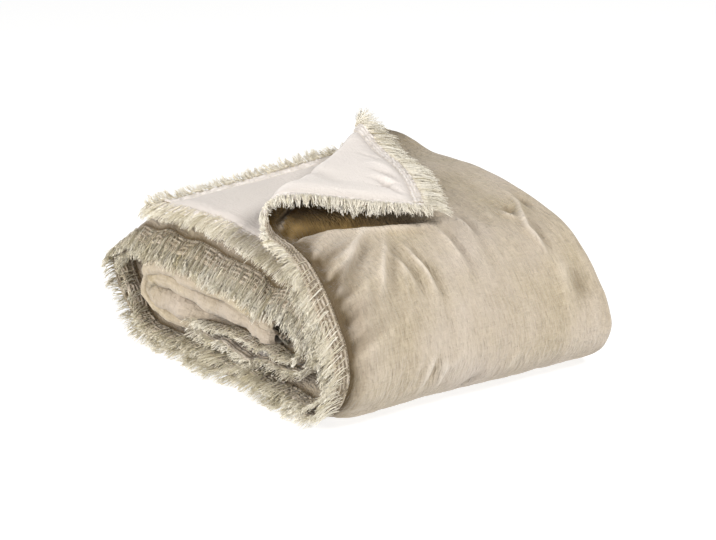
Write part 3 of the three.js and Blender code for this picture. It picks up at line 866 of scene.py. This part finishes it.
def rib_shading_and_flecks(place, inset):
    """Painted highlights on the ribs' puckers and painted shade in the hollows between them, with random
    flecks.
    """
    pucker_shade = PUCKER_SHADE_TONE * soft_noise(place / PUCKER, np.floor(inset / PUCKER_ROW_BREADTH), seed=41)
    return pucker_shade + FLECK_TONE * soft_noise(place / FLECK_SIZE[0], inset / FLECK_SIZE[1], seed=42)


def make_border(name, places, edge, materials):
    """The border along one edge, thinner at the edge and where it runs into the padding."""
    insets = np.linspace(0.0, FLANGE + BORDER_OVERLAP, BORDER_COLUMNS)
    place, inset = np.meshgrid(places, insets, indexing="ij")
    length, width = np.broadcast_arrays(*edge(place, -inset))
    at_edge = mix(HEM_THIN, 1.0, smooth(inset, 0.0, HEM_BREADTH))
    thinning = smooth(inset, FLANGE - JOIN_BREADTH, FLANGE + BORDER_OVERLAP)
    at_padding = mix(1.0, JOIN_THIN, thinning)
    thick = FLANGE_THICK / 2 * at_edge * at_padding + rib_height(place, inset)
    faces = faces_of(length, width, thick, thick)
    # Painted shade: dark lines along the rows of stitches, in the notches across the ribs, and in the
    # groove where the border meets the padding.
    from_row = np.abs(inset[..., None] - np.array(STITCH_ROWS)).min(axis=-1)
    rows = np.exp(-((from_row / SEAM_BREADTH) ** 2))
    notch_shade = NOTCH_SHADE * notched(place, inset) * smooth(inset, NOTCH_MARGIN, STITCH_ROWS[0])
    seam = np.maximum(np.maximum(rows, notch_shade), smooth(inset, STITCH_ROWS[-1], FLANGE))
    seam = np.tile(seam.ravel(), 2)
    # Painted highlights and painted shade on the puckers, with random flecks of tone.
    relief_shading_and_flecks = np.clip(rib_shading_and_flecks(place, inset), -1.0, 1.0)
    index = np.arange(place.size).reshape(place.shape)
    rim = np.concatenate([index[0, :-1], index[:-1, -1], index[-1, :0:-1], index[:0:-1, 0]])
    border = make_cloth(name, length, width, faces, quads_of(index), rim, seam, materials)
    store(border, "relief_shading_and_flecks", "FLOAT", np.tile(relief_shading_and_flecks.ravel(), 2))
    return border


# Threads, as thin tubes.
def tubes(paths, radii):
    """Vertices and polygons of thin tubes along paths (tubes, rings, 3), closed at both ends."""
    count, rings = paths.shape[:2]
    ahead = unit(np.gradient(paths, axis=1))
    helper = np.where(np.abs(ahead[..., 2:3]) > STEEP, [[[1.0, 0.0, 0.0]]], [[[0.0, 0.0, 1.0]]])
    side = unit(np.cross(ahead, helper))
    top = np.cross(ahead, side)
    angles = np.arange(TUBE_SIDES) * (2 * math.pi / TUBE_SIDES)
    around = side[..., None, :] * np.cos(angles)[:, None] + top[..., None, :] * np.sin(angles)[:, None]
    points = (paths[:, :, None, :] + around * radii[..., None, None]).reshape(-1, 3)
    ring = np.arange(count * rings * TUBE_SIDES).reshape(count, rings, TUBE_SIDES)
    here, there = ring[:, :-1], ring[:, 1:]
    turned_here, turned_there = np.roll(here, -1, axis=2), np.roll(there, -1, axis=2)
    walls = np.stack([here, turned_here, turned_there, there], axis=-1).reshape(-1, 4)
    caps = np.concatenate([ring[:, 0, ::-1], ring[:, -1]])
    return points, walls.tolist() + caps.tolist()


def grouped(draw, at, breadth, spread):
    """A random value that the threads of each group along the edge share."""
    group = (at / breadth).astype(int)
    return draw.normal(0.0, spread, group.max() + 1)[group]


def make_fringe(name, yarn, seed):
    """The loose threads of one stretch of the edge."""
    begin, end, edge, reach, sink, light, crowding = EDGES[name]
    draw = np.random.default_rng(seed)
    span = abs(end - begin)
    count = int(span * crowding)
    at = np.sort(draw.uniform(0.0, span, count))
    to_clump = (np.floor(at / CLUMP) + 0.5) * CLUMP - at
    to_lock = (np.floor(at / LOCK) + 0.5) * LOCK - at
    own = 1.0 + draw.normal(0.0, REACH_SPREAD[0], count)
    own = own + grouped(draw, at, CLUMP, REACH_SPREAD[1]) + grouped(draw, at, LOCK, REACH_SPREAD[2])
    place = begin + np.sign(end - begin) * at
    shown = np.interp(place, *zip(*SHOWN_FRINGE.get(name, WHOLE_FRINGE)))
    extent = reach * shown * np.clip(own, *REACH_LIMITS)
    lean = TO_MIDDLE[0] * to_clump + TO_MIDDLE[1] * to_lock + draw.normal(0.0, LEAN_SPREAD[0], count)
    lean = lean + grouped(draw, at, CLUMP, LEAN_SPREAD[1]) + grouped(draw, at, LOCK, LEAN_SPREAD[2])
    rise = grouped(draw, at, CLUMP, RISE_SPREAD[1]) + draw.normal(0.0, RISE_SPREAD[0], count)
    depth = draw.uniform(-ROOT_DEPTH, ROOT_DEPTH, count) * FLANGE_THICK
    breadth, shares = OVER_RIBS[name]
    share = np.interp(place, *zip(*shares))
    inward = draw.uniform(LAID_LEAST, breadth, count)
    inward = inward * (draw.uniform(0.0, 1.0, count) < np.abs(share))
    above_ribs = FLANGE_THICK / 2 + RIB_HEIGHT
    depth = depth + np.sign(share) * above_ribs * smooth(inward, 0.0, LAID_EASE)
    extent = extent + inward

    length, width = np.broadcast_arrays(*edge(place, -ROOT_INSET - inward))
    root = cloth_point(length, width)
    normal = normal_of(cloth_point, length, width)
    outward = unit(cloth_point(*edge(place, 0.0)) - cloth_point(*edge(place, -ROOT_PROBE)))
    sideways = unit(np.cross(normal, outward))

    t = np.linspace(0.0, 1.0, THREAD_RINGS)
    phase = draw.uniform(0.0, 2 * math.pi, (2, count, 1))
    turns = draw.uniform(*WAVE_COUNT, (2, count, 1))
    wave = draw.uniform(*WAVE_SWING, (2, count, 1)) * np.sin(phase + 2 * math.pi * turns * t) * t
    aside = lean[:, None] * t**LEAN_CURVE + wave[0]
    above = rise[:, None] * t + wave[1] + depth[:, None]
    out = extent[:, None] * (t - SINK_SHORT * abs(sink) * t**2)
    paths = (
        root[:, None, :]
        + outward[:, None, :] * out[..., None]
        + sideways[:, None, :] * aside[..., None]
        + normal[:, None, :] * above[..., None]
    )
    if edge is inner_edge:
        sink = mix(FLAP_SINK, sink, smooth(place, CREASE_ON_SIDE, FLAP_LENGTH))
    paths[..., 2] -= (sink * extent)[:, None] * t**2
    paths[..., 2] = np.maximum(paths[..., 2], THREAD_THICK / 2 + FLOOR_GAP)
    taper = mix(1.0, THREAD_TAPER, t)
    radii = THREAD_THICK / 2 * taper[None, :] * draw.uniform(*THICK_LIMITS, count)[:, None]
    points, polygons = tubes(paths, radii)
    piece = make_mesh(name + "_threads", points, polygons, [yarn])
    tone = light + grouped(draw, at, CLUMP, TONE_SPREAD[1]) + draw.normal(0.0, TONE_SPREAD[0], count)
    if edge is not free_edge:
        tone = tone - FLOOR_DULLNESS * between(place, *FLOOR_SPREAD)
    tone = np.clip(tone, 0.0, 1.0)
    store(piece, "thread_tone", "FLOAT", np.repeat(tone, THREAD_RINGS * TUBE_SIDES))
    store(piece, "thread_run", "FLOAT", np.tile(np.repeat(t, TUBE_SIDES), count))
    return piece


def make_stitches(thread):
    """The stitches of every row, on the front, and on the reverse where the flap shows it."""
    paths = []
    for begin, end, edge, *_ in EDGES.values():
        places = np.arange(min(begin, end) + STITCH_MARGIN, max(begin, end), STITCH_PITCH)
        place = places[:, None] + STITCH_RUN * STITCH_LENGTH
        for inset in STITCH_ROWS:
            length, width = np.broadcast_arrays(*edge(place, -inset))
            height = np.broadcast_to(FLANGE_THICK / 2 + STITCH_ARCH, place.shape)
            front, back = faces_of(length, width, height, height)
            paths.append(front)
            if edge is free_edge:
                paths.append(back)
            elif edge is inner_edge:
                paths.append(back[places < CREASE_ON_SIDE])
    paths = np.concatenate(paths)
    radii = np.full(paths.shape[:2], STITCH_THICK) * STITCH_TAPER
    points, polygons = tubes(paths, radii)
    return make_mesh("topstitches", points, polygons, [thread])


# Materials.
def new_group(name, inputs, outputs):
    """An empty shader node group with named sockets, its entry and its exit."""
    group = bpy.data.node_groups.new(name, "ShaderNodeTree")
    for socket, kind, value in inputs:
        made = group.interface.new_socket(socket, in_out="INPUT", socket_type=kind)
        if value is not None:
            made.default_value = value
    for socket, kind in outputs:
        group.interface.new_socket(socket, in_out="OUTPUT", socket_type=kind)
    return group, group.nodes.new("NodeGroupInput"), group.nodes.new("NodeGroupOutput")


def plug(tree, socket, value):
    """Links a socket to another one, or sets its value."""
    if isinstance(value, bpy.types.NodeSocket):
        tree.links.new(value, socket)
    else:
        socket.default_value = value


def plug_all(tree, node, **values):
    """Plugs inputs of a node by their names, with _ for a space."""
    for key, value in values.items():
        plug(tree, node.inputs[key.replace("_", " ")], value)


def add_node(tree, kind, settings=None, **values):
    """A node with its properties set and its inputs plugged."""
    node = tree.nodes.new(kind)
    for key, value in (settings or {}).items():
        setattr(node, key, value)
    plug_all(tree, node, **values)
    return node


def stored(tree, name, output="Fac"):
    """A value that is stored at the vertices, as its output socket."""
    return add_node(tree, "ShaderNodeAttribute", {"attribute_name": name}).outputs[output]


def maths(tree, operation, first, second=0.0):
    """A Math node on two values or sockets, as its output socket."""
    node = tree.nodes.new("ShaderNodeMath")
    node.operation = operation
    plug(tree, node.inputs[0], first)
    plug(tree, node.inputs[1], second)
    return node.outputs[0]


def weighted(tree, *terms):
    """The sum of sockets, each times its weight."""
    total = maths(tree, "MULTIPLY", *terms[0])
    for socket, weight in terms[1:]:
        total = maths(tree, "ADD", total, maths(tree, "MULTIPLY", socket, weight))
    return total


# The weave's noises: cells for each metre across and along the cloth, and detail.
WEAVE_NOISES = {
    "warp": ((520.0, 60.0, 1.0), 2.0),
    "weft": ((60.0, 520.0, 1.0), 2.0),
    "slubs": ((160.0, 26.0, 1.0), 1.0),
    "crinkle": ((240.0, 110.0, 1.0), 2.0),
}
WEAVE_TONES = {"warp": 0.35, "weft": 0.2, "slubs": 0.2, "crinkle": 0.25}  # their shares of the tone
WEAVE_HEIGHTS = {"warp": 0.4, "weft": 0.4, "crinkle": 1.4}  # and of the height
WEAVE_ROUGHNESS = 0.55
MIDDLE_TONE = 0.5
CLOUD_SCALE = 9.0  # unless a material gives its own
CLOUD_DETAIL = 3.0
CLOUD_SPREAD = 0.3, 0.7  # noise that is taken as no cloud and as full cloud


def stretched_noise(tree, place, scale, detail):
    """Noise at a place whose axes are scaled apart, as its output socket."""
    mapped = add_node(tree, "ShaderNodeMapping", Vector=place, Scale=scale).outputs[0]
    values = {"Scale": 1.0, "Detail": detail, "Roughness": WEAVE_ROUGHNESS}
    return add_node(tree, "ShaderNodeTexNoise", Vector=mapped, **values).outputs["Fac"]


def slub_weave():
    """Uneven warp and weft threads: a tone and a height that change over the cloth."""
    group, entry, leave = new_group(
        "Slub weave",
        [("Place", "NodeSocketVector", None), ("Unevenness", "NodeSocketFloat", 1.0)],
        [("Tone", "NodeSocketFloat"), ("Height", "NodeSocketFloat")],
    )
    place = entry.outputs["Place"]
    noise = {name: stretched_noise(group, place, *size) for name, size in WEAVE_NOISES.items()}
    streaks = weighted(group, *((noise[name], share) for name, share in WEAVE_TONES.items()))
    centred = maths(group, "SUBTRACT", streaks, MIDDLE_TONE)
    apart = maths(group, "MULTIPLY", centred, entry.outputs["Unevenness"])
    height = weighted(group, *((noise[name], share) for name, share in WEAVE_HEIGHTS.items()))
    group.links.new(maths(group, "ADD", apart, MIDDLE_TONE), leave.inputs["Tone"])
    group.links.new(height, leave.inputs["Height"])
    return group


def soft_mottling():
    """Broad, weak clouds of colour, as on washed cloth."""
    group, entry, leave = new_group(
        "Soft mottling",
        [("Place", "NodeSocketVector", None), ("Scale", "NodeSocketFloat", CLOUD_SCALE)],
        [("Cloud", "NodeSocketFloat")],
    )
    place, scale = entry.outputs["Place"], entry.outputs["Scale"]
    noise = add_node(group, "ShaderNodeTexNoise", Vector=place, Scale=scale, Detail=CLOUD_DETAIL)
    low, high = CLOUD_SPREAD
    value = noise.outputs["Fac"]
    spread = add_node(group, "ShaderNodeMapRange", Value=value, From_Min=low, From_Max=high)
    group.links.new(spread.outputs[0], leave.inputs["Cloud"])
    return group


def colour(red, green, blue):
    """A colour from sRGB values of 0 to 255."""
    channels = (c / 255 for c in (red, green, blue))
    return *(c / 12.92 if c <= 0.04045 else ((c + 0.055) / 1.055) ** 2.4 for c in channels), 1.0


MIX_SHARE, MIX_FIRST, MIX_SECOND, MIX_RESULT = 0, 6, 7, 2  # a Mix node's sockets for colours


def mixed(tree, share, first, second):
    """A mix of two colours, as its output socket."""
    node = tree.nodes.new("ShaderNodeMix")
    node.data_type = "RGBA"
    for number, value in ((MIX_SHARE, share), (MIX_FIRST, first), (MIX_SECOND, second)):
        plug(tree, node.inputs[number], value)
    return node.outputs[MIX_RESULT]


SHEEN_ROUGHNESS = 0.5
SPECULAR = 0.2


def new_material(name, roughness, sheen):
    """A cloth-like material: its tree and its Principled shader."""
    material = bpy.data.materials.new(name)
    material.use_nodes = True
    tree = material.node_tree
    shader = tree.nodes["Principled BSDF"]
    plug_all(tree, shader, Roughness=roughness, Sheen_Weight=sheen)
    plug_all(tree, shader, Sheen_Roughness=SHEEN_ROUGHNESS, Specular_IOR_Level=SPECULAR)
    return material, tree, shader


# The cloth's tones: dark and light threads, clouds, and the painted highlight on ridges.
FRONT_TONES = (
    *(colour(147, 133, 105), colour(200, 186, 160)),
    *(colour(195, 183, 173), colour(231, 221, 209)),
)
REVERSE_TONES = (
    *(colour(220, 212, 206), colour(235, 229, 223)),
    *(colour(228, 220, 215), colour(246, 242, 238)),
)
FRONT_WEAVE = {"unevenness": 3.2, "bump": 1.0, "seam_shade": 0.9}
REVERSE_WEAVE = {"unevenness": 0.8, "bump": 0.4, "seam_shade": 0.2}
# Painted shade at seams, grooves, gathers, notches, tucks and creases.
PAINTED_SHADE_TONE = colour(72, 54, 20)
HOLLOW_SHADE_TONE = colour(160, 128, 66)  # painted shade tint of the cloth in the hollow under the turned corner
HOLLOW_SHADE_SHARE = 0.85  # how much of it shows there
CLOTH_CLOUDS = 7.0  # clouds for each metre
CLOTH_CLOUD_SHARE = 0.75  # how much of a cloud's tone shows
RIDGE_HIGHLIGHT_SHARE = 0.5  # the same for the painted highlight on ridges
CREASE_SHADE_SHARE = 0.35  # and for the painted shade in the creases
BUMP_DISTANCE = 0.0035  # metres


def woven_cloth(name, weave, mottling, tones, unevenness, bump, seam_shade):
    """Woven cloth whose tone follows its threads and whose hue drifts in soft clouds, with stored
    painted shade and highlights.
    """
    dark, light, cloud, ridge_highlight = tones
    material, tree, shader = new_material(name, roughness=0.92, sheen=0.22)
    place = stored(tree, "cloth_place", "Vector")
    threads = add_node(tree, "ShaderNodeGroup", {"node_tree": weave}, Place=place, Unevenness=unevenness)
    clouds = add_node(tree, "ShaderNodeGroup", {"node_tree": mottling}, Place=place, Scale=CLOTH_CLOUDS)
    tone = mixed(tree, threads.outputs["Tone"], dark, light)
    clouded = maths(tree, "MULTIPLY", clouds.outputs["Cloud"], CLOTH_CLOUD_SHARE)
    hue = mixed(tree, clouded, tone, cloud)
    # Painted shade: a warm, darker tint in the hollow under the turned corner.
    hue = mixed(tree, maths(tree, "MULTIPLY", stored(tree, "hollow_shade"), HOLLOW_SHADE_SHARE), hue, HOLLOW_SHADE_TONE)
    # Painted highlights on ridges and puckers, painted shade in creases and hollows.
    relief_shading_and_flecks = stored(tree, "relief_shading_and_flecks")
    raised_share = maths(tree, "MULTIPLY", maths(tree, "MAXIMUM", relief_shading_and_flecks, 0.0), RIDGE_HIGHLIGHT_SHARE)
    sunk_share = maths(tree, "MAXIMUM", maths(tree, "MULTIPLY", relief_shading_and_flecks, -CREASE_SHADE_SHARE), 0.0)
    paler = mixed(tree, raised_share, hue, ridge_highlight)
    # Painted shade at seams, grooves, gathers, notches, tucks, deep creases and on the flap's reverse.
    shade_share = maths(tree, "MULTIPLY", stored(tree, "seam"), seam_shade)
    shaded = mixed(tree, maths(tree, "MAXIMUM", shade_share, sunk_share), paler, PAINTED_SHADE_TONE)
    relief = {"Height": threads.outputs["Height"], "Strength": bump, "Distance": BUMP_DISTANCE}
    raised = add_node(tree, "ShaderNodeBump", **relief)
    plug_all(tree, shader, Base_Color=shaded, Normal=raised.outputs["Normal"])
    return material


YARN_TONES = colour(189, 178, 143), colour(255, 251, 240)  # of the darkest and the lightest thread
YARN_CLOUD = colour(226, 217, 200)
YARN_CLOUDS = 30.0  # clouds for each metre
YARN_CLOUD_SHARE = 0.3  # how much of a cloud's tone shows
ROOT_TONE = colour(190, 175, 144)
ROOT_SHARE = 0.2  # how much of it shows at a thread's root


def loose_yarn(mottling):
    """Cream yarn, each thread with its own tone, darker at its root."""
    material, tree, shader = new_material("cream yarn", roughness=0.95, sheen=0.15)
    place = add_node(tree, "ShaderNodeTexCoord").outputs["Object"]
    clouds = add_node(tree, "ShaderNodeGroup", {"node_tree": mottling}, Place=place, Scale=YARN_CLOUDS)
    clouded = maths(tree, "MULTIPLY", clouds.outputs["Cloud"], YARN_CLOUD_SHARE)
    thread = mixed(tree, stored(tree, "thread_tone"), *YARN_TONES)
    yarn = mixed(tree, clouded, thread, YARN_CLOUD)
    root = mixed(tree, ROOT_SHARE, yarn, ROOT_TONE)
    plug_all(tree, shader, Base_Color=mixed(tree, stored(tree, "thread_run"), root, yarn))
    return material


SEWING_TONES = colour(196, 181, 150), colour(232, 221, 196)
SEWING_NOISE = 220.0  # cells for each metre


def sewing_thread():
    """The plain thread of the stitches, a little uneven."""
    material, tree, shader = new_material("sewing thread", roughness=0.8, sheen=0.1)
    place = add_node(tree, "ShaderNodeTexCoord").outputs["Object"]
    noise = add_node(tree, "ShaderNodeTexNoise", Vector=place, Scale=SEWING_NOISE)
    plug_all(tree, shader, Base_Color=mixed(tree, noise.outputs["Fac"], *SEWING_TONES))
    return material


# The studio.
CAMERA_AZIMUTH = math.radians(-38.0)
CAMERA_ELEVATION = math.radians(17.5)
CAMERA_TARGET = (-10.0, 0.0, 105.0)
CAMERA_DISTANCE = 4076.0
CAMERA_ASIDE = 8.7  # the view's centre beside the target
CAMERA_ABOVE = 2.2
FRAME_WIDTH = 716.0
FOCAL_PIXELS = 3200.0
SENSOR = 36.0


def make_camera():
    """The camera at the photo's place. Returns the directions to its right and towards it."""
    a, e = CAMERA_AZIMUTH, CAMERA_ELEVATION
    back = Vector((math.sin(a) * math.cos(e), -math.cos(a) * math.cos(e), math.sin(e)))
    right = Vector((math.cos(a), math.sin(a), 0.0))
    up = back.cross(right)
    data = bpy.data.cameras.new("camera")
    data.sensor_width = SENSOR
    data.lens = FOCAL_PIXELS / FRAME_WIDTH * SENSOR
    camera = add_object("camera", data)
    aim = Vector(CAMERA_TARGET) + right * CAMERA_ASIDE + up * CAMERA_ABOVE
    axes = Matrix((right, up, back)).transposed().to_4x4()
    camera.matrix_world = Matrix.Translation((aim + back * CAMERA_DISTANCE) * MM) @ axes
    bpy.context.scene.camera = camera
    return right, Vector((back.x, back.y, 0.0)).normalized()


# Soft lights: metres to the right of the object, towards the camera and up, breadth, watts, tint.
LIGHTS = {
    "key": (1.96, 1.13, 2.26, 1.0, 90.0, (1.0, 0.985, 0.96)),
    "end_fill": (-2.2, 1.5, 1.1, 2.0, 92.0, (1.0, 0.98, 0.95)),
}
LIGHT_AIM = Vector((0.0, 0.0, 0.1))  # the middle of the roll
WHITE = (1.0, 1.0, 1.0, 1.0)
SKY_STRENGTH = 0.2
FLOOR_TONE = 0.38
FLOOR_ROUGHNESS = 0.9
FLOOR_GLOW = 0.78  # the floor is lit from below, as a light table is
FLOOR_HALF = 20.0  # half of its side, in metres
FLOOR_DROP = 0.0003  # metres under the roll


def make_light(name, place, size, power, tint):
    """A square soft light that faces the middle of the roll."""
    data = bpy.data.lights.new(name, "AREA")
    data.size = size
    data.energy = power
    data.color = tint
    light = add_object(name, data)
    light.location = place
    light.rotation_euler = (LIGHT_AIM - place).to_track_quat("-Z", "Y").to_euler()


def make_studio(right, towards):
    """The white surroundings, the lights and the floor."""
    world = bpy.data.worlds.new("studio")
    world.use_nodes = True
    sky = world.node_tree.nodes["Background"]
    plug_all(world.node_tree, sky, Color=WHITE, Strength=SKY_STRENGTH)
    bpy.context.scene.world = world
    for name, (aside, near, above, size, power, tint) in LIGHTS.items():
        place = right * aside + towards * near + Vector((0.0, 0.0, above))
        make_light(name, place, size, power, tint)
    corners = [(x * FLOOR_HALF, y * FLOOR_HALF, 0.0) for x, y in ((-1, -1), (1, -1), (1, 1), (-1, 1))]
    floor = bpy.data.meshes.new("floor")
    floor.from_pydata(corners, [], [(0, 1, 2, 3)])
    material = bpy.data.materials.new("pale floor")
    material.use_nodes = True
    tree = material.node_tree
    shader = tree.nodes["Principled BSDF"]
    grey = (FLOOR_TONE, FLOOR_TONE, FLOOR_TONE, 1.0)
    plug_all(tree, shader, Base_Color=grey, Roughness=FLOOR_ROUGHNESS)
    plug_all(tree, shader, Emission_Color=WHITE, Emission_Strength=FLOOR_GLOW)
    floor.materials.append(material)
    ground = add_object("floor", floor)
    ground.location.z = -FLOOR_DROP
    bpy.context.scene.view_settings.view_transform = "Standard"


def make_comforter(weave, mottling):
    """The body, its borders and its stitches."""
    cloths = [
        woven_cloth("sand linen", weave, mottling, FRONT_TONES, **FRONT_WEAVE),
        woven_cloth("pale reverse", weave, mottling, REVERSE_TONES, **REVERSE_WEAVE),
    ]
    body = make_body(cloths)
    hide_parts("comforter")
    shown = np.arange(0.0, FLAP_LENGTH + 1.0, BORDER_STEP)
    rolled = np.arange(FLAP_LENGTH, LENGTH + 1.0, BORDER_STEP)
    across = np.arange(FLANGE - HALF_WIDTH, HALF_WIDTH - FLANGE + 1.0, BORDER_STEP)
    pieces = [
        body,
        make_border("outer_border", shown, outer_edge, cloths),
        make_border("inner_border", shown[::-1], inner_edge, cloths),
        make_border("end_border", across[::-1], free_edge, cloths),
        make_border("rolled_outer_border", rolled, outer_edge, cloths[:1] * 2),
        make_border("rolled_inner_border", rolled[::-1], inner_edge, cloths[:1] * 2),
        make_stitches(sewing_thread()),
    ]
    for piece in pieces:
        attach(piece, "root")


def main():
    """Builds every piece, its materials and the studio."""
    right, towards = make_camera()
    mottling = soft_mottling()
    make_comforter(slub_weave(), mottling)
    yarn = loose_yarn(mottling)
    for seed, name in enumerate(EDGES):
        threads = make_fringe(name, yarn, seed)
        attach(threads, "root")
        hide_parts(name)
    make_studio(right, towards)


main()
